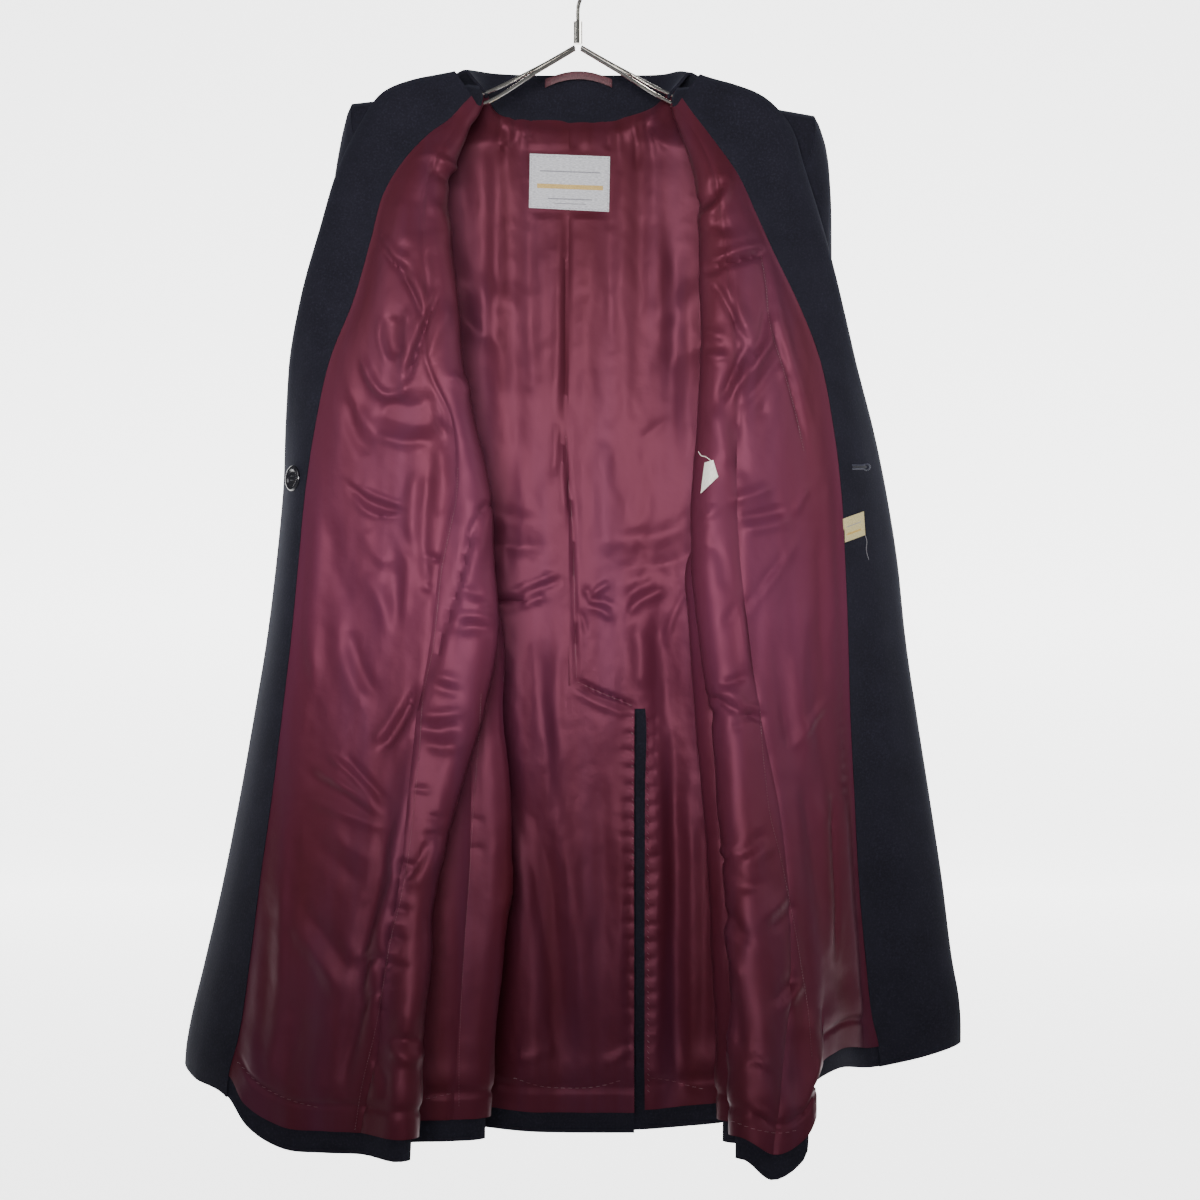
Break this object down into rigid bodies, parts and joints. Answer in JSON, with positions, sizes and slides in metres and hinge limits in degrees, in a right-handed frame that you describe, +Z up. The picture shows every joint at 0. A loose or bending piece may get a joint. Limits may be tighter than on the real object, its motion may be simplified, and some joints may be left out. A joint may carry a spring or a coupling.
{
  "type": "chesterfield coat on a wire hanger",
  "caption": "Long wool coat hung open on a wire hanger, fronts turned back to show the satin lining, wool facings and lapels.",
  "frame": {"origin": "underside of the hanger's hook, where it rests on a rail, in the hanger's own plane", "axes": "+Z up along the coat's length, +X to the right of a viewer who looks at the open inside, +Y from that viewer to the coat's outside back"},
  "size_m": [0.7817, 0.2538, 1.1976],
  "materials": {
    "wool": "navy melton wool",
    "satin": "burgundy shot satin",
    "label": "white woven label",
    "cream_label": "cream woven label",
    "loop_braid": "burgundy braid",
    "horn": "polished dark horn",
    "chrome_wire": "polished"
  },
  "bodies": {
    "root": {"back_left": "wool", "side_left": "wool", "front_left": "wool", "facing_left": "wool", "back_right": "wool", "side_right": "wool", "front_right": "wool", "facing_right": "wool", "sleeve_left": "wool", "sleeve_right": "wool", "collar": "wool", "lining_back_left": "satin", "lining_side_left": "satin", "lining_front_left": "satin", "lining_back_right": "satin", "lining_side_right": "satin", "lining_front_right": "satin", "main_label": "label", "care_label": "label", "small_label": "cream_label", "hanging_loop": "loop_braid", "button": "horn", "button_shank": "wool", "hanger_hook": "chrome_wire", "hanger_ferrule": "chrome_wire", "hanger_arm_left": "chrome_wire", "hanger_arm_right": "chrome_wire"}
  },
  "joints": []
}
